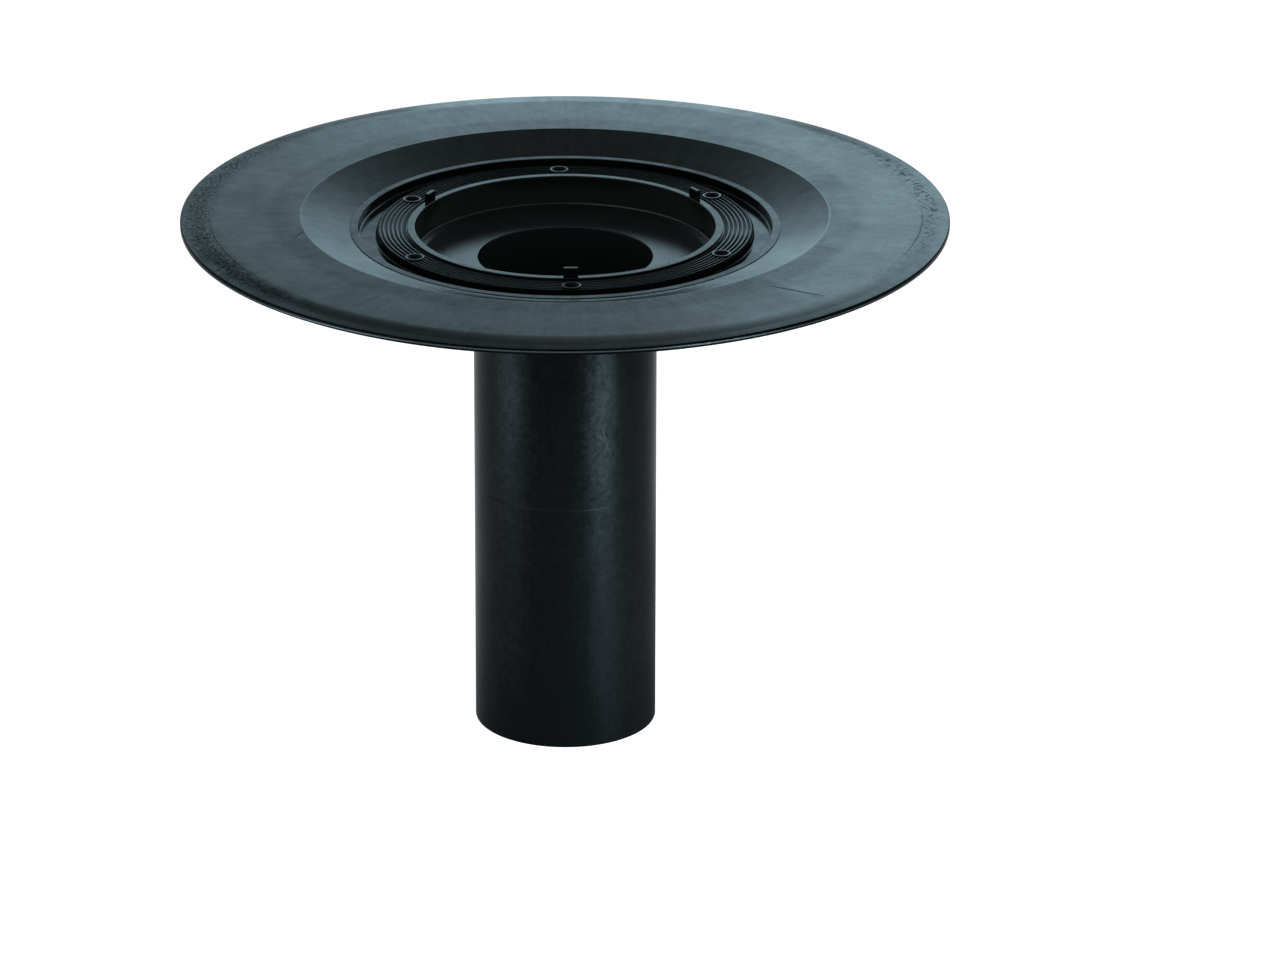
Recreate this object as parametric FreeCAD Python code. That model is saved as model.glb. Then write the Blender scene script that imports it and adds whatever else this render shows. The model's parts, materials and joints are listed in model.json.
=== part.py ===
import FreeCAD, Part
import os

# Balcony drain body, in millimetres, +Z up. The origin is the centre of the outlet pipe's lower end,
# and the pipe's axis is Z. One screw bush and one locating lug stand on the -Y side.

# Overall
body_height = 221.2
body_wall = 3.0
pipe_diameter = 75.0
pipe_wall = 1.9

# Flange, from the rim inwards
flange_diameter = 313.0
flange_thickness = 2.4
rim_droop = 1.3
rim_droop_width = 11.5

# Dish, from the basin outwards
basin_diameter = 122.4
basin_depth = 13.2
basin_foot_run = 3.0
basin_foot_rise = 1.3
inner_rim_width = 3.2
inner_rim_rise = 0.55
rim_groove_width = 1.5
ridge_count = 6
ridge_pitch = 1.8
ridge_height = 0.8
channel_width = 7.6
channel_depth = 3.5
ring_below_ledge = 0.2
ledge_width = 3.4
cone_run = 19.8
cone_drop = 5.7

# Bevels, each measured along both of the faces that meet
rim_edge_bevel = 0.5
fold_bevel = 2.0
dish_edge_bevel = 0.4
channel_foot_bevel = 1.2
basin_underside_bevel = 2.0
inlet_bevel = 0.5
pipe_end_bevel = 0.4
neck_bevel = 4.0

# Screw bushes and the bosses that hold them
bush_count = 6
bush_diameter = 7.6
bush_bore = 5.0
bush_length = 12.0
bush_stand_proud = 0.3
bush_mouth_bevel = 0.4
boss_wall = 4.2
boss_floor = 2.5

# Locating lugs on the inner rim
lug_count = 3
lug_width = 6.0
lug_thickness = 1.9
lug_setback = 0.6
lug_height = 4.0
lug_edge_bevel = 0.4

# Where the first bush and the first lug stand, in degrees round the axis from +X
first_angle = -90.0

# Radii that follow from the sizes above
pipe_radius = pipe_diameter / 2
bore_radius = pipe_radius - pipe_wall
basin_radius = basin_diameter / 2
inner_rim_radius = basin_radius + inner_rim_width
ridge_start_radius = inner_rim_radius + rim_groove_width
ring_radius = ridge_start_radius + ridge_count * ridge_pitch
lip_radius = ring_radius + channel_width
cone_foot_radius = lip_radius + ledge_width
cone_top_radius = cone_foot_radius + cone_run
rim_radius = flange_diameter / 2
fold_radius = rim_radius - rim_droop_width
bush_radius = bush_diameter / 2
bush_bore_radius = bush_bore / 2
bush_circle_radius = (ridge_start_radius + ring_radius) / 2
boss_radius = bush_radius + boss_wall
lug_radius = inner_rim_radius - lug_setback

# Heights that follow from the sizes above
ledge_height = body_height - cone_drop
crest_height = ledge_height - ring_below_ledge
valley_height = crest_height - ridge_height
inner_rim_height = crest_height + inner_rim_rise
channel_height = crest_height - channel_depth
basin_height = inner_rim_height - basin_depth
basin_underside = basin_height - body_wall
ring_underside = crest_height - body_wall
channel_underside = channel_height - body_wall
ledge_underside = ledge_height - body_wall
flange_underside = body_height - flange_thickness
rim_height = body_height - rim_droop
rim_underside = rim_height - flange_thickness
bush_top = crest_height + bush_stand_proud
bush_end = bush_top - bush_length
boss_end = bush_end - boss_floor
boss_top = ring_underside + body_wall / 2
lug_top = inner_rim_height + lug_height

# The most of a face's length that the bevel at one of its ends may take
longest_bevel_share = 0.49


def on_axis(height):
    return FreeCAD.Vector(0, 0, height)


def on_bush_circle(height):
    return FreeCAD.Vector(bush_circle_radius, 0, height)


def sharp(radius, height):
    return FreeCAD.Vector(radius, 0, height), 0


def bevelled(radius, height, leg):
    return FreeCAD.Vector(radius, 0, height), leg


def turned(corners):
    """Cut the bevels of a closed section's corners and turn the section once round the axis."""
    points = []
    for index, (corner, leg) in enumerate(corners):
        for neighbour in (corners[index - 1][0], corners[(index + 1) % len(corners)][0]):
            side = neighbour - corner
            setback = min(leg, longest_bevel_share * side.Length)
            points.append(corner + side.normalize() * setback)
            if leg == 0:
                break
    face = Part.Face(Part.makePolygon(points + points[:1]))
    return face.revolve(on_axis(0), FreeCAD.Vector(0, 0, 1), 360)


def spaced_round(shape, count):
    """Copies of a shape made on the +X side, spaced evenly round the axis from the first angle."""
    copies = []
    for index in range(count):
        angle = first_angle + index * 360 / count
        copies.append(shape.rotated(on_axis(0), FreeCAD.Vector(0, 0, 1), angle))
    return copies


def ring_between(inner_radius, outer_radius, bottom, top):
    ring = Part.makeCylinder(outer_radius, top - bottom, on_axis(bottom))
    return ring.cut(Part.makeCylinder(inner_radius, top - bottom, on_axis(bottom)))


def edges_at_height(shape, height):
    close = 0.001
    return [e for e in shape.Edges if abs(e.BoundBox.ZMin - height) + abs(e.BoundBox.ZMax - height) < close]


def underside_corners():
    """The underside of the section, from the pipe's end outwards, one wall below the upper side."""
    return [
        bevelled(pipe_radius, 0, pipe_end_bevel),
        bevelled(pipe_radius, basin_underside, neck_bevel),
        bevelled(basin_radius + body_wall, basin_underside, basin_underside_bevel),
        sharp(basin_radius + body_wall, ring_underside),
        sharp(ring_radius - body_wall, ring_underside),
        sharp(ring_radius - body_wall, channel_underside),
        bevelled(lip_radius + body_wall, channel_underside, channel_foot_bevel),
        sharp(lip_radius + body_wall, ledge_underside),
        sharp(cone_top_radius, flange_underside),
        sharp(fold_radius, flange_underside),
    ]


def flange_corners():
    """The flange, its drooping rim and the cone down to the ledge, from the rim inwards."""
    return [
        bevelled(rim_radius, rim_underside, rim_edge_bevel),
        bevelled(rim_radius, rim_height, rim_edge_bevel),
        bevelled(fold_radius, body_height, fold_bevel),
        sharp(cone_top_radius, body_height),
        sharp(cone_foot_radius, ledge_height),
        bevelled(lip_radius, ledge_height, dish_edge_bevel),
    ]


def clamping_ring_corners():
    """The channel and the sealing ridges, a valley and a sharp crest for each pitch, from the lip inwards."""
    corners = [
        bevelled(lip_radius, channel_height, channel_foot_bevel),
        bevelled(ring_radius, channel_height, channel_foot_bevel),
        sharp(ring_radius, valley_height),
    ]
    for index in range(ridge_count):
        crest_radius = ring_radius - (index + 0.5) * ridge_pitch
        corners.append(sharp(crest_radius, crest_height))
        corners.append(sharp(crest_radius - ridge_pitch / 2, valley_height))
    return corners


def basin_corners():
    """The inner rim, the basin and the inlet, from the last ridge inwards and down the bore."""
    return [
        sharp(inner_rim_radius, valley_height),
        bevelled(inner_rim_radius, inner_rim_height, dish_edge_bevel),
        bevelled(basin_radius, inner_rim_height, dish_edge_bevel),
        sharp(basin_radius, basin_height + basin_foot_rise),
        sharp(basin_radius - basin_foot_run, basin_height),
        bevelled(bore_radius, basin_height, inlet_bevel),
        sharp(bore_radius, 0),
    ]


def make_bush_blank():
    return Part.makeCylinder(bush_radius, bush_length, on_bush_circle(bush_end))


def make_bush():
    """A round bush, bored through and bevelled at its mouth."""
    bore = Part.makeCylinder(bush_bore_radius, bush_length, on_bush_circle(bush_end))
    mouth_floor = on_bush_circle(bush_top - bush_mouth_bevel)
    mouth = Part.makeCone(bush_bore_radius, bush_bore_radius + bush_mouth_bevel, bush_mouth_bevel, mouth_floor)
    return make_bush_blank().cut(bore).cut(mouth)


def make_boss():
    """A round boss under the clamping ring that closes the lower end of a bush."""
    boss = Part.makeCylinder(boss_radius, boss_top - boss_end, on_bush_circle(boss_end))
    channel = ring_between(ring_radius, lip_radius, channel_height, crest_height)
    basin = Part.makeCylinder(basin_radius, inner_rim_height - basin_height, on_axis(basin_height))
    return boss.cut(channel).cut(basin)


def make_lug():
    """An upright lug that stands on the inner rim, curved with it and bevelled round its top."""
    band = ring_between(lug_radius - lug_thickness, lug_radius, valley_height, lug_top)
    corner = FreeCAD.Vector(0, -lug_width / 2, valley_height)
    block = Part.makeBox(lug_radius, lug_width, lug_top - valley_height, corner)
    lug = band.common(block)
    return lug.makeChamfer(lug_edge_bevel, edges_at_height(lug, lug_top))


def make_body():
    section = underside_corners() + flange_corners() + clamping_ring_corners() + basin_corners()
    body = turned(section)
    body = body.fuse(spaced_round(make_boss(), bush_count) + spaced_round(make_lug(), lug_count))
    return body.cut(spaced_round(make_bush_blank(), bush_count)).removeSplitter()


os.makedirs("parts", exist_ok=True)
make_body().exportStep("parts/drain_body.step")
Part.makeCompound(spaced_round(make_bush(), bush_count)).exportStep("parts/threaded_bushes.step")
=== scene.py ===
import json
import math

import bmesh
import bpy
from mathutils import Matrix, Vector


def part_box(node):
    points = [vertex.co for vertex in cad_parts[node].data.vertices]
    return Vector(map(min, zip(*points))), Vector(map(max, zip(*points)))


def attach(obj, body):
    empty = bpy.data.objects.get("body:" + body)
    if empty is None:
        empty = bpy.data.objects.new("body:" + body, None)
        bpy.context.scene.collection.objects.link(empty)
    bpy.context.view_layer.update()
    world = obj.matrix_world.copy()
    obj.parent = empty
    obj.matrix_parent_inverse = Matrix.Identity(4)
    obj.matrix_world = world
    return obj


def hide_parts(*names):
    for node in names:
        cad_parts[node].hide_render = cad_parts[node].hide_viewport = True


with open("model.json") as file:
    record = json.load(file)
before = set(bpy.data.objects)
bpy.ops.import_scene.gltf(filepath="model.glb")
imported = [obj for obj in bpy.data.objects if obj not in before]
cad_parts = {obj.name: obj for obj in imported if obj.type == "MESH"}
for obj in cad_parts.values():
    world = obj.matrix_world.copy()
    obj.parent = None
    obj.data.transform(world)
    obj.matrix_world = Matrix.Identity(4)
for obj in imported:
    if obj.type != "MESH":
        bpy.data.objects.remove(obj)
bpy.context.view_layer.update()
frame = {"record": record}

# A black moulded balcony drain body with metal screw bushes.
# Sizes are in millimetres. Those of the floor and the lamps, and the camera's place, are in metres.
MM = 0.001

# Sizes that come from the frame
mounts = {mount["name"]: mount for mount in frame["record"]["mounts"]}
screws = mounts["clamping_ring_screws"]["dims"]
body_top_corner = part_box("drain_body")[1] / MM
bush_low_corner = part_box("threaded_bushes")[0] / MM
bush_top_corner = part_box("threaded_bushes")[1] / MM
body_height = body_top_corner.z
rim_radius = body_top_corner.x
pipe_radius = mounts["outlet_spigot"]["dims"]["r_mm"]
bore_radius = mounts["outlet_bore"]["dims"]["r_mm"]
basin_radius = mounts["basin_seat"]["dims"]["r_mm"]
flange_underside = mounts["flange_underside"]["pos_m"][2] / MM
bush_circle_radius = screws["pcd_mm"] / 2
bush_bore_radius = screws["hole_r_mm"]
bush_count = screws["count"]
bush_end = bush_low_corner.z
bush_top = bush_top_corner.z
bush_radius = bush_top_corner.y - bush_circle_radius

# Section of the moulding, from the rim inwards
body_wall = 3.0
rim_droop = 1.3
rim_droop_width = 9.9
curl_width = 4.2
curl_drop = 0.45
flange_warp = 0.45
cone_run = 19.8
cone_drop = 5.7
ledge_width = 3.4
ledge_step = 0.25
ledge_step_run = 0.1
channel_width = 7.6
channel_depth = 3.5
ring_below_ledge = 0.2
ridge_count = 6
ridge_pitch = 1.8
ridge_depth = 0.54
groove_depth = 0.8
rim_groove_width = 1.5
inner_rim_width = 3.2
inner_rim_rise = 0.55
basin_depth = 13.2
basin_foot_run = 3.0
basin_foot_rise = 1.3

# Rounds of the section's corners
rim_lower_round = 0.5
rim_upper_round = 0.6
curl_round = 25.0
fold_round = 40.0
cone_edge_round = 0.4
ledge_step_round = 0.1
lip_round = 0.35
channel_outer_round = 1.0
channel_inner_round = 0.8
groove_round = 0.2
ridge_round = 0.6
valley_round = 0.12
inner_rim_round = 0.35
basin_edge_round = 0.4
basin_wall_round = 0.4
basin_floor_round = 0.6
inlet_round = 0.5
bore_end_round = 0.2
pipe_end_round = 1.2
neck_round = 6.0
basin_underside_round = 2.5
channel_underside_round = 1.5
cone_underside_round = 1.5
underside_round = 0.8

# Radii and heights that follow
inner_rim_radius = basin_radius + inner_rim_width
ring_radius = inner_rim_radius + rim_groove_width + ridge_count * ridge_pitch
lip_radius = ring_radius + channel_width
cone_foot_radius = lip_radius + ledge_width
cone_top_radius = cone_foot_radius + cone_run
fold_radius = rim_radius - rim_droop_width
curl_radius = rim_radius - curl_width
ledge_height = body_height - cone_drop
lip_height = ledge_height + ledge_step
crest_height = ledge_height - ring_below_ledge
groove_height = crest_height - groove_depth
inner_rim_height = crest_height + inner_rim_rise
channel_height = crest_height - channel_depth
basin_height = inner_rim_height - basin_depth
basin_foot_height = basin_height + basin_foot_rise
basin_underside = basin_height - body_wall
ring_underside = crest_height - body_wall
channel_underside = channel_height - body_wall
ledge_underside = ledge_height - body_wall
rim_height = body_height - rim_droop
rim_underside = rim_height - (body_height - flange_underside)
curl_height = rim_height + curl_drop
curl_underside = rim_underside + curl_drop

# Lugs and bosses
lug_count = 3
lug_width = 6.0
lug_thickness = 1.9
lug_setback = 0.6
lug_height = 4.0
lug_root = 0.5
lug_round = 0.3
lug_top = inner_rim_height + lug_height
boss_wall = 4.2
boss_floor = 2.5
first_angle = math.radians(-90)

# Bushes and their thread
seat_gap = 0.015
bush_mouth = 0.75
bush_lower_mouth_round = 0.1
bush_foot_round = 0.25
bush_face_round = 0.15
thread_end_round = 0.2
thread_pitch = 1.0
thread_depth = 0.5
thread_low = bush_end + bush_mouth
thread_high = bush_top - bush_mouth

# Fineness of the meshes, angles in radians
turn_steps = 240
hole_steps = 48
lug_steps = 6
lug_round_steps = 3
thread_rows_per_pitch = 8
fewest_arc_steps = 2
arc_step = math.radians(14)
sharp_angle = math.radians(34)
straight_angle = 0.001
longest_round_share = 0.49
touching = 0.001


def corner(radius, height, rounding):
    return Vector((radius, height)), rounding


def rounded(corners):
    """Points of a closed section, each corner's round drawn as an arc of short steps."""
    points = []
    for index, (tip, rounding) in enumerate(corners):
        back = corners[index - 1][0] - tip
        ahead = corners[(index + 1) % len(corners)][0] - tip
        half_turn = (math.pi - back.angle(ahead)) / 2
        if half_turn < straight_angle:
            points.append(tip)
            continue
        reach = min(rounding * math.tan(half_turn), longest_round_share * min(back.length, ahead.length))
        inwards = (back.normalized() + ahead.normalized()).normalized()
        centre = tip + inwards * (reach / math.sin(half_turn))
        spoke = tip + back.normalized() * reach - centre
        way = 1 if back.cross(ahead) < 0 else -1
        steps = max(fewest_arc_steps, math.ceil(2 * half_turn / arc_step))
        for step in range(steps + 1):
            points.append(centre + Matrix.Rotation(way * 2 * half_turn * step / steps, 2) @ spoke)
    return points


def add_object(name, vertices, faces):
    """A new object from points in millimetres, its faces turned outwards."""
    mesh = bpy.data.meshes.new(name)
    mesh.from_pydata([Vector(point) * MM for point in vertices], [], faces)
    piece = bpy.data.objects.new(name, mesh)
    bpy.context.scene.collection.objects.link(piece)
    shape = bmesh.new()
    shape.from_mesh(mesh)
    bmesh.ops.recalc_face_normals(shape, faces=shape.faces)
    shape.to_mesh(mesh)
    shape.free()
    return piece


def turned(section, steps, spin=0.0):
    """Vertices and faces of a closed section turned once round the upright axis."""
    vertices = []
    faces = []
    count = len(section)
    for step in range(steps):
        angle = spin + 2 * math.pi * step / steps
        here = step * count
        after = (step + 1) % steps * count
        for index, point in enumerate(section):
            ahead = (index + 1) % count
            vertices.append((point.x * math.cos(angle), point.x * math.sin(angle), point.y))
            faces.append((here + index, after + index, after + ahead, here + ahead))
    return vertices, faces


def upright_rod(radius, bottom, top, centre):
    """Vertices and faces of a plain closed rod, used to cut and to join."""
    vertices = []
    for height in (bottom, top):
        for step in range(hole_steps):
            angle = 2 * math.pi * step / hole_steps
            x = centre[0] + radius * math.cos(angle)
            y = centre[1] + radius * math.sin(angle)
            vertices.append((x, y, height))
    faces = [tuple(range(hole_steps)), tuple(range(hole_steps, 2 * hole_steps))]
    for step in range(hole_steps):
        ahead = (step + 1) % hole_steps
        faces.append((step, ahead, hole_steps + ahead, hole_steps + step))
    return vertices, faces


def gathered(parts):
    """Several sets of vertices and faces as one set."""
    vertices = []
    faces = []
    for part_vertices, part_faces in parts:
        first = len(vertices)
        vertices.extend(part_vertices)
        faces.extend(tuple(first + index for index in face) for face in part_faces)
    return vertices, faces


def places_round(count, radius):
    """Angles and places spaced evenly round the axis, from the first angle."""
    angles = [first_angle + 2 * math.pi * index / count for index in range(count)]
    return [(angle, (radius * math.cos(angle), radius * math.sin(angle))) for angle in angles]


def combine(piece, operation, tool):
    """Cut the tool out of the piece, or join it on, and delete the tool."""
    step = piece.modifiers.new(operation.lower(), "BOOLEAN")
    step.operation = operation
    step.solver = "MANIFOLD"
    step.object = tool
    evaluated = piece.evaluated_get(bpy.context.evaluated_depsgraph_get())
    mesh = bpy.data.meshes.new_from_object(evaluated)
    old_mesh = piece.data
    piece.modifiers.clear()
    piece.data = mesh
    mesh.name = piece.name
    bpy.data.meshes.remove(old_mesh)
    bpy.data.objects.remove(tool)


def smooth(piece):
    """Smooth shading up to the sharp edges, with flat faces kept flat beside small rounds."""
    piece.data.shade_smooth()
    piece.data.set_sharp_from_angle(angle=sharp_angle)
    weights = piece.modifiers.new("flat_faces", "WEIGHTED_NORMAL")
    weights.keep_sharp = True


def moulding_section():
    """The section of the moulding, from the pipe's end up its outside, over the flange and down the bore."""
    ridges = []
    for index in range(ridge_count):
        crest = ring_radius - (index + 0.5) * ridge_pitch
        ridges.append(corner(crest, crest_height, ridge_round))
        ridges.append(corner(crest - ridge_pitch / 2, crest_height - ridge_depth, valley_round))
    return [
        corner(pipe_radius, 0, pipe_end_round),
        corner(pipe_radius, basin_underside, neck_round),
        corner(basin_radius + body_wall, basin_underside, basin_underside_round),
        corner(basin_radius + body_wall, ring_underside, underside_round),
        corner(ring_radius - body_wall, ring_underside, underside_round),
        corner(ring_radius - body_wall, channel_underside, underside_round),
        corner(lip_radius + body_wall, channel_underside, channel_underside_round),
        corner(lip_radius + body_wall, ledge_underside, underside_round),
        corner(cone_top_radius, flange_underside, cone_underside_round),
        corner(fold_radius, flange_underside, fold_round),
        corner(curl_radius, curl_underside, curl_round),
        corner(rim_radius, rim_underside, rim_lower_round),
        corner(rim_radius, rim_height, rim_upper_round),
        corner(curl_radius, curl_height, curl_round),
        corner(fold_radius, body_height, fold_round),
        corner(cone_top_radius, body_height, cone_edge_round),
        corner(cone_foot_radius, ledge_height, ledge_step_round),
        corner(cone_foot_radius - ledge_step_run, lip_height, ledge_step_round),
        corner(lip_radius, lip_height, lip_round),
        corner(lip_radius, channel_height, channel_outer_round),
        corner(ring_radius, channel_height, channel_inner_round),
        corner(ring_radius, groove_height, groove_round),
        *ridges,
        corner(inner_rim_radius, groove_height, groove_round),
        corner(inner_rim_radius, inner_rim_height, inner_rim_round),
        corner(basin_radius, inner_rim_height, basin_edge_round),
        corner(basin_radius, basin_foot_height, basin_wall_round),
        corner(basin_radius - basin_foot_run, basin_height, basin_floor_round),
        corner(bore_radius, basin_height, inlet_round),
        corner(bore_radius, 0, bore_end_round),
    ]


def make_bosses():
    """The closed bosses under the clamping ring, kept out of the channel by half a wall."""
    half_wall = body_wall / 2
    places = places_round(bush_count, bush_circle_radius)
    top = ring_underside + half_wall
    bottom = bush_end - boss_floor
    rods = [upright_rod(bush_radius + boss_wall, bottom, top, place) for angle, place in places]
    bosses = add_object("bosses", *gathered(rods))
    channel = [
        Vector((ring_radius - half_wall, channel_height - half_wall)),
        Vector((lip_radius, channel_height - half_wall)),
        Vector((lip_radius, body_height)),
        Vector((ring_radius - half_wall, body_height)),
    ]
    combine(bosses, "DIFFERENCE", add_object("channel_space", *turned(channel, turn_steps)))
    return bosses


def add_lug(shape, angle, outer):
    """A block that follows the inner rim, in rows of four points: inner foot and top, outer foot and top."""
    rows = []
    for step in range(lug_steps + 1):
        turn = angle + lug_width / outer * (step / lug_steps - 0.5)
        row = []
        for radius in (outer - lug_thickness, outer):
            for height in (groove_height - lug_root, lug_top):
                point = Vector((radius * math.cos(turn), radius * math.sin(turn), height))
                row.append(shape.verts.new(point * MM))
        rows.append(row)
    for before, after in zip(rows, rows[1:]):
        for first, second in ((0, 1), (1, 3), (3, 2), (2, 0)):
            shape.faces.new((before[first], before[second], after[second], after[first]))
    for end in (rows[0], rows[-1]):
        shape.faces.new((end[0], end[1], end[3], end[2]))


def make_lugs():
    """The upright lugs on the inner rim, curved with it and rounded along their upper edges."""
    outer = inner_rim_radius - lug_setback
    shape = bmesh.new()
    for angle, place in places_round(lug_count, outer):
        add_lug(shape, angle, outer)
    bmesh.ops.recalc_face_normals(shape, faces=shape.faces)
    worn = []
    for edge in shape.edges:
        highest = max(vertex.co.z for vertex in edge.verts)
        if edge.calc_face_angle() > sharp_angle and highest > (lug_top - touching) * MM:
            worn.append(edge)
    bmesh.ops.bevel(
        shape, geom=worn, offset=lug_round * MM, segments=lug_round_steps, profile=0.5, affect="EDGES"
    )
    mesh = bpy.data.meshes.new("lugs")
    shape.to_mesh(mesh)
    shape.free()
    lugs = bpy.data.objects.new("lugs", mesh)
    bpy.context.scene.collection.objects.link(lugs)
    return lugs


def warped(vertices):
    """The thin flange is a little out of true: its left and right stand higher than its front and back."""
    shaped = []
    for x, y, z in vertices:
        radius = math.hypot(x, y)
        reach = max(0, (radius - cone_top_radius) / (rim_radius - cone_top_radius))
        shaped.append((x, y, z + flange_warp * reach * (x * x - y * y) / (radius * radius)))
    return shaped


def make_moulding():
    """The whole moulding with its real rounds: one turned wall, its bosses, lugs and bush seats."""
    vertices, faces = turned(rounded(moulding_section()), turn_steps)
    moulding = add_object("moulded_body", warped(vertices), faces)
    combine(moulding, "UNION", make_bosses())
    combine(moulding, "UNION", make_lugs())
    places = places_round(bush_count, bush_circle_radius)
    seats = [upright_rod(bush_radius, bush_end, body_height, place) for angle, place in places]
    combine(moulding, "DIFFERENCE", add_object("bush_seats", *gathered(seats)))
    smooth(moulding)
    return moulding


def bush_section():
    """The section of a bush, with rows of points down its bore for the thread."""
    outer = bush_radius - seat_gap
    mouth_radius = bush_bore_radius + bush_mouth
    outline = rounded([
        corner(mouth_radius, bush_end, bush_lower_mouth_round),
        corner(outer, bush_end, bush_foot_round),
        corner(outer, bush_top, bush_face_round),
        corner(mouth_radius, bush_top, bush_face_round),
        corner(bush_bore_radius, thread_high, thread_end_round),
        corner(bush_bore_radius, thread_low, thread_end_round),
    ])
    on_bore = [index for index, point in enumerate(outline) if abs(point.x - bush_bore_radius) < touching]
    upper = outline[on_bore[0]]
    lower = outline[on_bore[1]]
    rows = round((thread_high - thread_low) / thread_pitch * thread_rows_per_pitch)
    bore = [upper.lerp(lower, row / rows) for row in range(1, rows)]
    return outline[:on_bore[1]] + bore + outline[on_bore[1]:]


def bush_mesh(centre, spin):
    """One bush: a turned sleeve whose bore carries a thread that runs out at both ends."""
    vertices, faces = turned(bush_section(), hole_steps, spin)
    shaped = []
    for x, y, z in vertices:
        radius = math.hypot(x, y)
        grow = 1
        if radius < bush_bore_radius + touching:
            run_out = min(1, (z - thread_low) / thread_pitch, (thread_high - z) / thread_pitch)
            wave = 0.5 - 0.5 * math.cos(2 * math.pi * z / thread_pitch - math.atan2(y, x))
            grow = 1 + thread_depth * max(0, run_out) * wave / radius
        shaped.append((centre[0] + x * grow, centre[1] + y * grow, z))
    return shaped, faces


def make_bushes():
    places = places_round(bush_count, bush_circle_radius)
    bushes = add_object("screw_bushes", *gathered(bush_mesh(place, angle) for angle, place in places))
    smooth(bushes)
    return bushes


class Level:
    """A value that varies over a surface: a shader socket whose sums and products add Math nodes."""

    def __init__(self, tree, socket):
        self.tree = tree
        self.socket = socket

    def maths(self, operation, *values):
        return add_node(self.tree, "ShaderNodeMath", {"operation": operation}, dict(enumerate(values)))

    def __add__(self, other):
        return self.maths("ADD", self, other)

    def __sub__(self, other):
        return self.maths("SUBTRACT", self, other)

    def __rsub__(self, other):
        return self.maths("SUBTRACT", other, self)

    def __mul__(self, other):
        return self.maths("MULTIPLY", self, other)

    def __truediv__(self, other):
        return self.maths("DIVIDE", self, other)

    def __rtruediv__(self, other):
        return self.maths("DIVIDE", other, self)

    def __pow__(self, other):
        return self.maths("POWER", self, other)

    def __rpow__(self, other):
        return self.maths("POWER", other, self)

    def __abs__(self):
        return self.maths("ABSOLUTE", self)

    __radd__ = __add__
    __rmul__ = __mul__

    def larger(self, other):
        return self.maths("MAXIMUM", self, other)

    def smaller(self, other):
        return self.maths("MINIMUM", self, other)

    def other_output(self, name):
        return Level(self.tree, self.socket.node.outputs[name])


def set_stops(stops, wanted):
    """Put a ramp's wanted stops in the place of the two that it starts with."""
    for place, colour in wanted:
        stops.new(place).color = (*colour, 1)
    stops.remove(stops[0])
    stops.remove(stops[-1])


def fill_sockets(tree, node, inputs):
    for name, value in inputs.items():
        if isinstance(value, Level):
            tree.links.new(value.socket, node.inputs[name])
        else:
            node.inputs[name].default_value = value


def add_node(tree, kind, settings, inputs, output=0):
    """Add one node: its settings first, then its sockets' values or links. Gives one of its outputs."""
    node = tree.nodes.new(kind)
    for name, value in settings.items():
        if name == "stops":
            set_stops(node.color_ramp.elements, value)
        else:
            setattr(node, name, value)
    fill_sockets(tree, node, inputs)
    return Level(tree, node.outputs[output])


def add_output(tree, kind, surface):
    output = tree.nodes.new(kind)
    tree.links.new(surface.socket, output.inputs["Surface"])


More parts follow.
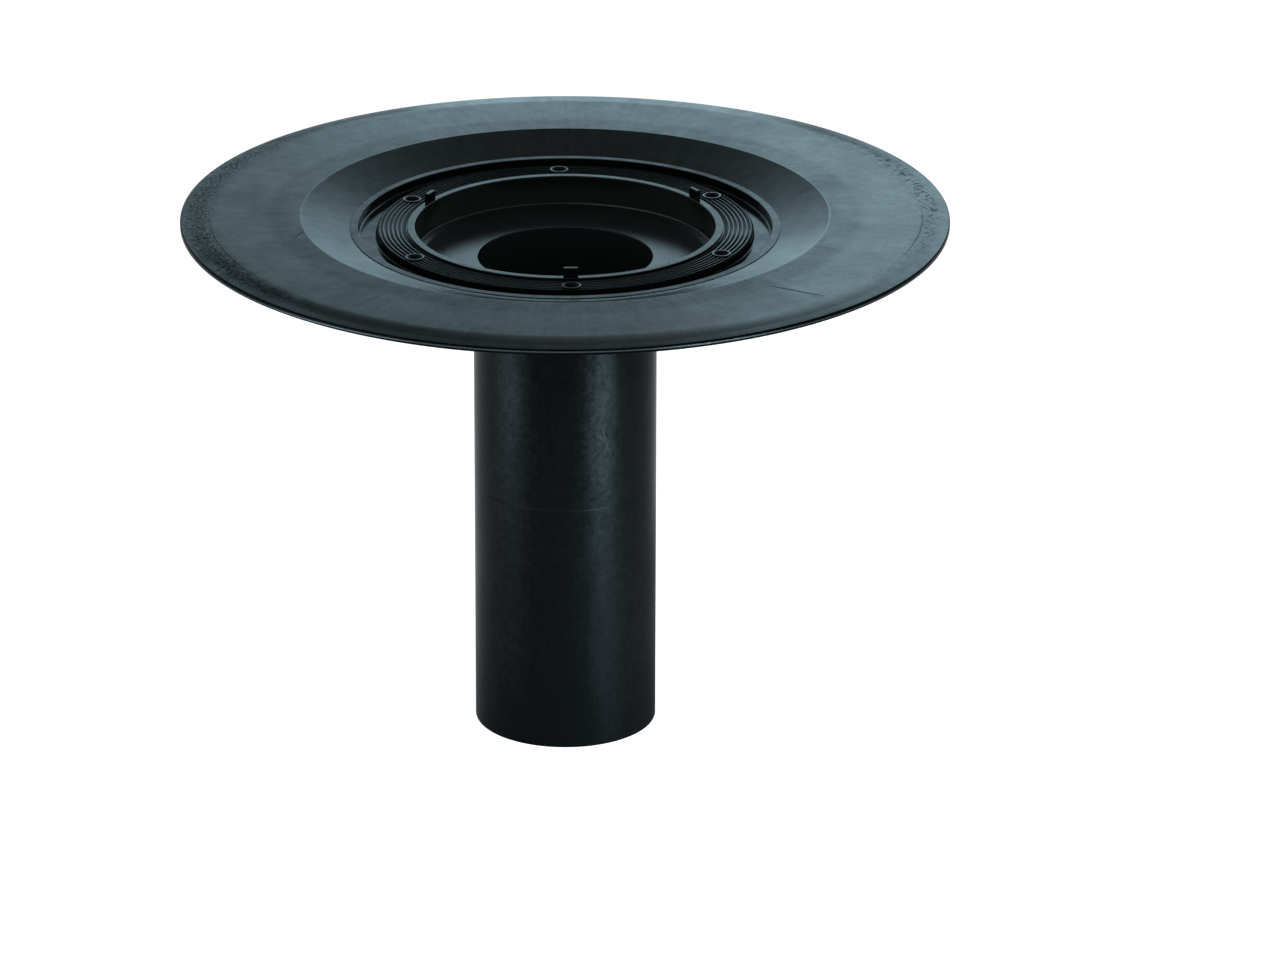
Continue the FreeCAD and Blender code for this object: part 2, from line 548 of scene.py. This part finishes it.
class Finish:
    """A material under way: its node tree, the surface's place in millimetres, and the marks used on it."""

    def __init__(self, name):
        self.material = bpy.data.materials.new(name)
        self.material.use_nodes = True
        self.tree = self.material.node_tree
        self.shader = self.tree.nodes["Principled BSDF"]
        place = self.node("ShaderNodeTexCoord", {}, {}, "Object")
        self.place = self.node("ShaderNodeVectorMath", {"operation": "SCALE"}, {0: place, "Scale": 1 / MM})
        self.lean = self.node("ShaderNodeSeparateXYZ", {}, {0: place.other_output("Normal")}, "Z")
        self.x = self.node("ShaderNodeSeparateXYZ", {}, {0: self.place}, "X")
        self.y = self.x.other_output("Y")
        self.z = self.x.other_output("Z")
        self.radius = (self.x * self.x + self.y * self.y) ** 0.5

    def node(self, kind, settings, inputs, output=0):
        return add_node(self.tree, kind, settings, inputs, output)

    def noise(self, place, per_mm, detail, rough=0.55):
        inputs = {"Vector": place, "Scale": per_mm, "Detail": detail, "Roughness": rough}
        return self.node("ShaderNodeTexNoise", {}, inputs)

    def point(self, x, y, z):
        return self.node("ShaderNodeCombineXYZ", {}, {0: x, 1: y, 2: z})

    def rise(self, value, start, full):
        """0 at the start and 1 at the full level, with a soft step between. Either may be the higher."""
        inputs = {"Value": value, "From Min": start, "From Max": full}
        return self.node("ShaderNodeMapRange", {"interpolation_type": "SMOOTHSTEP"}, inputs)

    def near(self, value, middle, reach):
        """1 at the middle, falling softly to 0 at the reach on both sides."""
        return self.rise(abs(value - middle), reach, 0)

    def facing(self, angle, half_width):
        """1 on the side of the axis that lies at an angle in degrees, 0 beyond the half width."""
        side = math.radians(angle)
        cosine = (self.x * math.cos(side) + self.y * math.sin(side)) / self.radius
        return self.rise(cosine, math.cos(math.radians(half_width)), 1)

    def radial_streaks(self, per_turn, per_mm):
        """Noise drawn out along the radius."""
        scale = per_turn / (2 * math.pi)
        around = self.point(self.x / self.radius * scale, self.y / self.radius * scale, self.radius * per_mm)
        return self.noise(around, per_mm=1.0, detail=2.0)

    def turned_rings(self, per_mm):
        """Noise that runs round the axis in fine rings."""
        return self.noise(self.point(self.radius * per_mm, 0, 0), per_mm=1.0, detail=2.0)

    def hairlines(self, angle, per_mm, draw):
        """Noise drawn out into fine straight lines of the plan that lie at an angle in degrees."""
        lie = math.radians(angle)
        along = self.x * math.cos(lie) + self.y * math.sin(lie)
        across = self.y * math.cos(lie) - self.x * math.sin(lie)
        return self.noise(self.point(along / draw, across, 0), per_mm, detail=2.0)

    def scratch(self, right, up, start, end, half_width):
        """1 on a straight line between two points of a plane, thinning out over a quarter at each end."""
        run = Vector(end) - Vector(start)
        length = run.length
        run.normalize()
        along = (right - start[0]) * run.x + (up - start[1]) * run.y
        across = (up - start[1]) * run.x - (right - start[0]) * run.y
        ends = self.rise(along, 0, 0.25 * length) * self.rise(along, length, 0.75 * length)
        return self.near(across, 0, half_width) * ends

    def blend(self, share, first, second):
        return self.node("ShaderNodeMix", {"data_type": "RGBA"}, {0: share, 6: first, 7: second}, 2)

    def bump(self, height, distance_mm, strength):
        inputs = {"Height": height, "Distance": distance_mm * MM, "Strength": strength}
        return self.node("ShaderNodeBump", {}, inputs)

    def set(self, inputs):
        fill_sockets(self.tree, self.shader, inputs)

    def mix_in(self, share, inputs):
        """Mix a second surface into the first by a share that varies."""
        first = Level(self.tree, self.shader.outputs[0])
        second = self.node("ShaderNodeBsdfPrincipled", {}, inputs)
        both = self.node("ShaderNodeMixShader", {}, {0: share, 1: first, 2: second})
        self.tree.links.new(both.socket, self.tree.nodes["Material Output"].inputs["Surface"])


# Zones of the plastic: the radius, height or lean at which each starts, and the one at which it is full
upper_side_heights = (basin_underside - 9.65, basin_underside - 1.65)
upper_side_lean = (-0.5, -0.2)
flange_radii = (cone_top_radius, cone_top_radius + 1.0)
inner_flange_radii = (cone_top_radius + 15.5, cone_top_radius + 10.5)
left_bend_radii = (rim_radius - 11.5, rim_radius - 7.5)
rim_side_radii = (rim_radius - 0.5, rim_radius - 0.2)
within_cone_radii = (cone_top_radius + 0.3, cone_top_radius - 0.3)
cone_radii = (cone_foot_radius, cone_foot_radius + 0.6)
dish_radii = (cone_foot_radius + 0.6, cone_foot_radius)
ring_radii = (ring_radius + 0.3, ring_radius - 0.3)
ridge_radii = (inner_rim_radius + 0.2, inner_rim_radius + 0.8)
valley_heights = (crest_height - 0.10, crest_height - 0.28)
basin_radii = (basin_radius + 0.3, basin_radius - 0.3)
basin_foot_radii = (basin_radius - 0.9, basin_radius - 0.3)
basin_wall_heights = (basin_height + 1.0, basin_height + 1.6)
bore_radii = (bore_radius + 0.6, bore_radius + 0.1)
pipe_neck_heights = (150, 190)
pipe_foot_heights = (130, 0)
pipe_end_heights = (45, 5)
pipe_left_heights = (40, 80)
pipe_right_heights = (110, 60)

# Bands of marks: the radius or height of the middle of each, and how far it reaches
left_rub_band = (rim_radius - 7.0, 9.5)
right_score_band = (rim_radius - 8.0, 7.0)
speck_band = (rim_radius - 10.5, 10.0)
smudge_band = (rim_radius - 8.0, 6.0)
front_bend_band = (rim_radius - 7.5, 7.0)
back_bend_band = (rim_radius - 5.5, 6.0)
left_fold_line = (rim_radius - 11.9, 0.5)
right_fold_line = (rim_radius - 11.2, 0.5)
cone_edge_band = (cone_top_radius, 0.5)
# A light stripe along the rim's side; its grey is a painted reflection
rim_side_stripe_band = (rim_height - 1.4, 0.5)
# A pale line at the basin's foot, partly dust and partly a painted highlight
foot_line_band = (basin_foot_height, 0.35)
pipe_ring_band = (105.2, 0.7)

# Sides of the body: an angle in degrees round the axis from +X, and a half width
left_rub_side = (178, 56)
right_score_side = (12, 42)
speck_side = (-12, 42)
left_fold_side = (196, 22)
right_fold_side = (-13, 15)
left_smudge_side = (228, 38)
right_smudge_side = (-40, 26)
front_bend_side = (-75, 55)
back_bend_side = (90, 70)
cone_edge_left = (205, 70)
cone_edge_right = (-25, 70)
cone_front = (-90, 42)
cone_right = (-38, 32)
cone_back = (90, 80)
ridge_back = (90, 60)
# The side where the painted highlight of the basin's foot line is full
foot_line_highlight_side = (60, 30)
pipe_ring_front = (-95, 45)
pipe_front = (-95, 30)
pipe_strip = (-65, 16)
pipe_left = (185, 40)
pipe_right = (-5, 40)

# Levels of noise at which marks start, and at which they are full
rub_levels = (0.45, 0.56)
score_levels = (0.54, 0.62)
speck_levels = (0.60, 0.66)
pipe_speck_levels = (0.67, 0.72)

# Depths of the marks, where 1 is the deepest, and of the pale line at the basin's foot away from the side
# where its painted highlight is full
rub_depth = 0.75
score_depth = 0.65
fold_line_depth = 0.60
foot_line_dim_share = 0.25

# Scratches: start, end, half width and depth, in the plan on the flange and seen from the front on the pipe
flange_scratches = [
    ((76.0, -90.0), (100.5, -104.8), 0.8, 1.0),
    ((-122.0, 96.0), (-112.0, 102.5), 0.6, 1.0),
    ((-110.8, -29.0), (-105.0, -16.5), 0.6, 0.5),
]
pipe_scratches = [
    ((13.3, 142.7), (16.6, 129.0), 0.4, 1.0),
    ((11.6, 138.1), (15.8, 133.1), 0.4, 1.0),
]

# Directions of the score lines in degrees, their lines to a millimetre, and how far they are drawn out
score_angles = (-62, 50)
score_lines_per_mm = 0.8
score_draw = 5.0

# Colours of the plastic and of what lies on it, with a painted reflection and a painted highlight among them
plastic_dark = (0.0020, 0.0025, 0.0027, 1)
plastic_light = (0.0035, 0.0042, 0.0045, 1)
pipe_black = (0.0016, 0.0016, 0.0016, 1)
pipe_end_black = (0.0018, 0.0018, 0.0019, 1)
dish_black = (0.0045, 0.0049, 0.0047, 1)
# The rim side's stripe: a painted reflection in grey
painted_rim_reflection_grey = (0.060, 0.066, 0.066, 1)
basin_floor_dust = (0.0125, 0.0137, 0.0131, 1)
basin_wall_dust = (0.0150, 0.0160, 0.0143, 1)
# The basin's foot line: pale dust with a painted highlight
foot_line_dust_and_highlight = (0.20, 0.19, 0.165, 1)
bore_dust = (0.0200, 0.0225, 0.0218, 1)

# The two surfaces that are mixed, the share of the dull one, and how far wear moves that share on the pipe
smooth_ior = 1.45
dull_ior = 1.06
plastic_roughness = 0.24
upper_side_dullness = 0.30
pipe_dullness = 0.944
pipe_wear_share = 0.15


class BlackPlastic(Finish):
    """The moulding's plastic: its zones, the marks of moulding and handling on them, its dust, and painted
    light on the rim's side and at the basin's foot.
    """

    def __init__(self):
        super().__init__("black_plastic")
        self.on_top = self.rise(self.z, *upper_side_heights) * self.rise(self.lean, *upper_side_lean)
        self.on_pipe = 1 - self.on_top
        self.on_flange = self.rise(self.radius, *flange_radii) * self.on_top
        self.on_rim_side = self.rise(self.radius, *rim_side_radii)
        # A stripe along the rim's side, shinier, and grey with a painted reflection
        self.rim_side_stripe = self.near(self.z, *rim_side_stripe_band)
        self.within_cone = self.rise(self.radius, *within_cone_radii) * self.on_top
        self.on_cone = self.rise(self.radius, *cone_radii) * self.within_cone
        self.in_dish = self.rise(self.radius, *dish_radii) * self.on_top
        self.on_ring = self.rise(self.radius, *ring_radii) * self.on_top
        self.on_ridges = self.rise(self.radius, *ridge_radii) * self.on_ring
        self.in_basin = self.rise(self.radius, *basin_radii) * self.on_top
        self.pipe_foot = self.rise(self.z, *pipe_foot_heights)
        self.pipe_end = self.rise(self.z, *pipe_end_heights)
        self.pipe_right = self.rise(self.z, *pipe_right_heights) * self.facing(*pipe_right)
        self.clouds = self.noise(self.place, per_mm=0.03, detail=5.0, rough=0.6)
        self.grain = self.noise(self.place, per_mm=1.6, detail=2.0)
        self.unevenness = self.moulded_unevenness()

    def moulded_unevenness(self):
        """How the moulded skin varies by itself, about zero."""
        mottle = self.noise(self.place, per_mm=0.16, detail=3.0, rough=0.6)
        flow = self.radial_streaks(per_turn=420, per_mm=0.03)
        return (
            0.38 * (self.clouds - 0.5)
            + 0.45 * (mottle - 0.5)
            + 0.25 * (flow - 0.5)
            + 0.50 * (self.grain - 0.5)
        )

    def band(self, middle, reach):
        return self.near(self.radius, middle, reach)

    def scratches(self, right, up, lines):
        deepest = 0
        for start, end, half_width, depth in lines:
            line = depth * self.scratch(right, up, start, end, half_width)
            deepest = line.larger(deepest)
        return deepest

    def flange_lines(self):
        """Marks of handling: a rubbed left edge, a scored right edge, lines along the fold, scratches."""
        rubbed = self.noise(self.place, per_mm=0.9, detail=4.0, rough=0.7)
        hairlines = [self.hairlines(angle, score_lines_per_mm, score_draw) for angle in score_angles]
        scored = self.rise(hairlines[0].larger(hairlines[1]), *score_levels)
        rub = self.band(*left_rub_band) * self.facing(*left_rub_side) * self.rise(rubbed, *rub_levels)
        score = self.band(*right_score_band) * self.facing(*right_score_side) * scored
        specks = self.band(*speck_band) * self.facing(*speck_side) * self.rise(rubbed, *speck_levels)
        left_fold = self.band(*left_fold_line) * self.facing(*left_fold_side)
        right_fold = self.band(*right_fold_line) * self.facing(*right_fold_side)
        lines = (rub_depth * rub).larger(score_depth * score).larger(specks)
        lines = lines.larger(fold_line_depth * left_fold).larger(fold_line_depth * right_fold)
        return lines.larger(self.scratches(self.x, self.y, flange_scratches))

    def flange_marks(self):
        """The lines on the flange, with its smudges and the bends near its rim."""
        left_smudge = self.facing(*left_smudge_side)
        left_bend = self.rise(self.radius, *left_bend_radii) * self.facing(*left_rub_side)
        front_bend = self.band(*front_bend_band) * self.facing(*front_bend_side)
        back_bend = self.band(*back_bend_band) * self.facing(*back_bend_side)
        return (
            self.flange_lines()
            + 0.14 * left_smudge
            + 0.30 * left_smudge * self.band(*smudge_band)
            + 0.08 * self.facing(*right_smudge_side)
            + 0.06 * left_bend
            - 0.28 * front_bend
            + 0.30 * back_bend
            + 0.14 * self.rise(self.radius, *inner_flange_radii)
        )

    def upper_dullness(self):
        """The share of the dull surface on the flange, the cone and the dish."""
        edge_sides = self.facing(*cone_edge_left) + self.facing(*cone_edge_right)
        cone_edge = self.band(*cone_edge_band) * edge_sides * self.on_top
        in_valleys = self.rise(self.z, *valley_heights) * self.on_ridges
        return (
            upper_side_dullness
            + self.unevenness
            + self.flange_marks() * self.on_flange
            + (1 - 0.90 * self.rim_side_stripe) * self.on_rim_side
            - 0.40 * cone_edge
            + 0.15 * self.facing(*cone_back) * self.on_cone
            - 0.22 * self.facing(*cone_right) * self.on_cone
            + 0.35 * self.in_dish
            - 0.25 * self.on_ring
            + (0.08 + 0.40 * self.facing(*ridge_back)) * self.on_ridges
            + 0.90 * in_valleys
            + (1.20 * self.turned_rings(per_mm=1.3) - 1) * self.in_basin
        )

    def pipe_wear(self):
        """Wear of the pipe: a ring round it, shiny scratches and specks, and duller and shinier sides."""
        ring = self.near(self.z, *pipe_ring_band)
        ring_front = self.facing(*pipe_ring_front)
        grain = self.noise(self.place, per_mm=0.45, detail=3.0, rough=0.6)
        specks = self.rise(self.noise(self.place, per_mm=0.7, detail=2.0), *pipe_speck_levels)
        shine = (ring * ring_front).larger(specks).larger(self.scratches(self.x, self.z, pipe_scratches))
        return (
            self.unevenness
            + 0.90 * (grain - 0.5)
            + 0.35 * ring * (1 - ring_front)
            - 0.50 * shine
            + 0.15 * self.rise(self.z, *pipe_neck_heights)
            + 0.08 * self.pipe_foot
            + 0.30 * self.pipe_end
            + 0.25 * self.facing(*pipe_front)
            - 0.25 * self.facing(*pipe_strip) * self.pipe_foot
            - 0.30 * self.facing(*pipe_left) * self.rise(self.z, *pipe_left_heights)
            + 0.30 * self.pipe_right
        )

    def dullness(self):
        on_pipe = pipe_dullness + pipe_wear_share * self.pipe_wear()
        share = self.upper_dullness() * self.on_top + on_pipe * self.on_pipe
        return share.larger(0).smaller(1)

    def colour(self):
        """Near black, with a painted reflection along the rim's side, dust in the basin and the bore, and a
        pale line at the basin's foot that is partly dust and partly a painted highlight.
        """
        colour = self.blend(self.clouds, plastic_dark, plastic_light)
        colour = self.blend(self.on_pipe, colour, pipe_black)
        colour = self.blend(self.pipe_end * self.on_pipe, colour, pipe_end_black)
        colour = self.blend(self.within_cone, colour, dish_black)
        # Painted reflection: a grey stripe along the rim's side
        colour = self.blend(self.on_rim_side * self.rim_side_stripe, colour, painted_rim_reflection_grey)
        dust = self.blend(self.rise(self.z, *basin_wall_heights), basin_floor_dust, basin_wall_dust)
        colour = self.blend(self.in_basin, colour, dust)
        # Painted highlight with dust: a pale line at the basin's foot, full on one side
        foot_edge = self.near(self.z, *foot_line_band) * self.rise(self.radius, *basin_foot_radii)
        depth = foot_line_dim_share + (1 - foot_line_dim_share) * self.facing(*foot_line_highlight_side)
        colour = self.blend(depth * foot_edge * self.in_basin, colour, foot_line_dust_and_highlight)
        return self.blend(self.rise(self.radius, *bore_radii), colour, bore_dust)

    def roughness(self):
        return (
            plastic_roughness
            + 0.08 * self.clouds
            + 0.05 * self.within_cone
            - 0.19 * self.in_dish
            - 0.23 * self.facing(*cone_front) * self.on_cone
            + 0.08 * self.in_basin
            + (0.07 * self.pipe_foot + 0.15 * self.pipe_right + 0.10 * self.pipe_end) * self.on_pipe
        )


def black_plastic():
    plastic = BlackPlastic()
    surface = {
        "Base Color": plastic.colour(),
        "Roughness": plastic.roughness(),
        "Normal": plastic.bump(plastic.grain, distance_mm=0.02, strength=0.4),
    }
    plastic.set({**surface, "IOR": smooth_ior})
    plastic.mix_in(plastic.dullness(), {**surface, "IOR": dull_ior})
    return plastic.material


# Colours and roughness of the bushes, and the heights between which their thread falls into shade
bush_dark = (0.15, 0.16, 0.17, 1)
bush_light = (0.24, 0.25, 0.26, 1)
bush_roughness = 0.38
turning_roughness = 0.12
thread_shade = (0.024, 0.024, 0.024, 1)
thread_heights = (bush_top - 0.03, bush_top - 0.14)


def bush_metal():
    finish = Finish("bush_metal")
    turning = finish.noise(finish.place, per_mm=2.5, detail=2.0)
    face = finish.blend(turning, bush_dark, bush_light)
    finish.set({
        "Base Color": finish.blend(finish.rise(finish.z, *thread_heights), face, thread_shade),
        "Metallic": 1.0,
        "Roughness": bush_roughness + turning_roughness * turning,
        "Normal": finish.bump(turning, distance_mm=0.01, strength=0.3),
    })
    return finish.material


floor_half_width = 6.0
floor_paint = (0.50, 0.50, 0.50, 1)
floor_glow = 0.95


def floor_white():
    """White where the camera and reflections see it, with the soft shadow kept."""
    material = bpy.data.materials.new("floor_white")
    material.use_nodes = True
    tree = material.node_tree
    tree.nodes.clear()
    camera = add_node(tree, "ShaderNodeLightPath", {}, {}, "Is Camera Ray")
    glossy = camera.other_output("Is Glossy Ray")
    clear = camera.other_output("Is Transmission Ray")
    paint = add_node(tree, "ShaderNodeBsdfDiffuse", {}, {"Color": floor_paint})
    glow = add_node(tree, "ShaderNodeEmission", {}, {"Color": (1, 1, 1, 1), "Strength": floor_glow})
    lit = add_node(tree, "ShaderNodeAddShader", {}, {0: paint, 1: glow})
    seen = camera.larger(glossy).larger(clear)
    both = add_node(tree, "ShaderNodeMixShader", {}, {0: seen, 1: paint, 2: lit})
    add_output(tree, "ShaderNodeOutputMaterial", both)
    return material


def make_floor():
    half = floor_half_width
    corners = [(-half, -half, 0), (half, -half, 0), (half, half, 0), (-half, half, 0)]
    mesh = bpy.data.meshes.new("floor")
    mesh.from_pydata(corners, [], [(0, 1, 2, 3)])
    mesh.materials.append(floor_white())
    floor = bpy.data.objects.new("floor", mesh)
    bpy.context.scene.collection.objects.link(floor)


# Light of the room by height, from 0 at the horizon to 1 overhead, behind the body and on the walls round it
room_dim = (0.085, 0.103, 0.110)
room_overhead = (0.16, 0.18, 0.185)
wall_pale = (0.35, 0.42, 0.45)
back_stops = [
    (0.0, (0.125, 0.155, 0.165)),
    (0.50, (0.18, 0.218, 0.228)),
    (0.75, room_dim),
    (0.90, room_overhead),
]
wall_stops = [
    (0.0, wall_pale),
    (0.30, (0.50, 0.60, 0.63)),
    (0.50, wall_pale),
    (0.72, room_dim),
    (0.90, room_overhead),
]
wall_end_depth = 0.8
wall_blend_depth = 0.3


def light_room():
    """A soft cool room, with pale walls on the sides and in front."""
    world = bpy.data.worlds.new("studio")
    bpy.context.scene.world = world
    world.use_nodes = True
    tree = world.node_tree
    tree.nodes.clear()
    place = add_node(tree, "ShaderNodeTexCoord", {}, {}, "Generated")
    height = add_node(tree, "ShaderNodeSeparateXYZ", {}, {0: place}, "Z")
    depth = height.other_output("Y")
    back = add_node(tree, "ShaderNodeValToRGB", {"stops": back_stops}, {0: height})
    walls = add_node(tree, "ShaderNodeValToRGB", {"stops": wall_stops}, {0: height})
    on_walls = ((wall_end_depth - depth) / wall_blend_depth).larger(0).smaller(1)
    colour = add_node(tree, "ShaderNodeMix", {"data_type": "RGBA"}, {0: on_walls, 6: back, 7: walls}, 2)
    glow = add_node(tree, "ShaderNodeBackground", {}, {"Color": colour, "Strength": 1.0})
    add_output(tree, "ShaderNodeOutputWorld", glow)


lamp_colour = (0.57, 0.865, 1.0)


def softbox(name, place, aim, size, radiance, spread=180):
    """A rectangular lamp of a given radiance, its spread in degrees."""
    width, height = size
    light = bpy.data.lights.new(name, "AREA")
    light.shape = "RECTANGLE"
    light.size = width
    light.size_y = height
    light.energy = radiance * math.pi * width * height
    light.color = lamp_colour
    light.spread = math.radians(spread)
    lamp = bpy.data.objects.new(name, light)
    bpy.context.scene.collection.objects.link(lamp)
    lamp.location = place
    lamp.rotation_euler = (Vector(aim) - Vector(place)).to_track_quat("-Z", "Y").to_euler()
    lamp.visible_camera = False


def light_object():
    """Softboxes behind the body for the flange and the cone, and in front of it for the pipe."""
    softbox("back_right", place=(0.22, 0.55, 0.45), aim=(0.22, 0, 0.35), size=(0.22, 0.28), radiance=2.45)
    softbox("back_middle", place=(0, 0.55, 0.365), aim=(0, 0, 0.265), size=(0.22, 0.21), radiance=1.42)
    softbox("back_left", place=(-0.22, 0.55, 0.42), aim=(-0.22, 0, 0.32), size=(0.22, 0.32), radiance=0.86)
    softbox("back_low", place=(0.04, 0.55, 0.235), aim=(0.04, 0, 0.235), size=(0.20, 0.12), radiance=1.7)
    front_right = (0.22, -0.245, 0.08)
    front_left = (-0.385, -0.110, 0.085)
    softbox("front_right", front_right, aim=(0, 0, 0.08), size=(0.24, 0.16), radiance=7.0, spread=60)
    softbox("front_left", front_left, aim=(0, 0, 0.085), size=(0.56, 0.20), radiance=3.2, spread=60)


# The camera stands 2.9 m from the flange's centre, in front of it and above it, with a long lens
camera_distance = 2.9
camera_height_angle = math.radians(19.22)
camera_side_angle = math.radians(-92)
camera_roll = math.radians(0.19)
camera_lens_mm = 200.3
camera_sensor_mm = 36.0
view_centre = Vector((0, 0, 0.2205))
aim_right = 0.0304
aim_up = -0.1075


def set_camera():
    flat = math.cos(camera_height_angle)
    away = Vector((
        flat * math.cos(camera_side_angle),
        flat * math.sin(camera_side_angle),
        math.sin(camera_height_angle),
    ))
    right = Vector((-math.sin(camera_side_angle), math.cos(camera_side_angle), 0))
    up = away.cross(right)
    place = view_centre + camera_distance * away
    sight = view_centre + aim_right * right + aim_up * up - place
    turn = sight.to_track_quat("-Z", "Y").to_matrix() @ Matrix.Rotation(camera_roll, 3, "Z")
    camera = bpy.data.objects.new("camera", bpy.data.cameras.new("camera"))
    bpy.context.scene.collection.objects.link(camera)
    camera.data.lens = camera_lens_mm
    camera.data.sensor_width = camera_sensor_mm
    camera.matrix_world = Matrix.Translation(place) @ turn.to_4x4()
    bpy.context.scene.camera = camera


moulding = make_moulding()
moulding.data.materials.clear()
moulding.data.materials.append(black_plastic())
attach(moulding, "root")
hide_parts("drain_body")

bushes = make_bushes()
bushes.data.materials.append(bush_metal())
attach(bushes, "root")
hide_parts("threaded_bushes")

make_floor()
light_room()
light_object()
set_camera()
bpy.context.scene.view_settings.view_transform = "Standard"
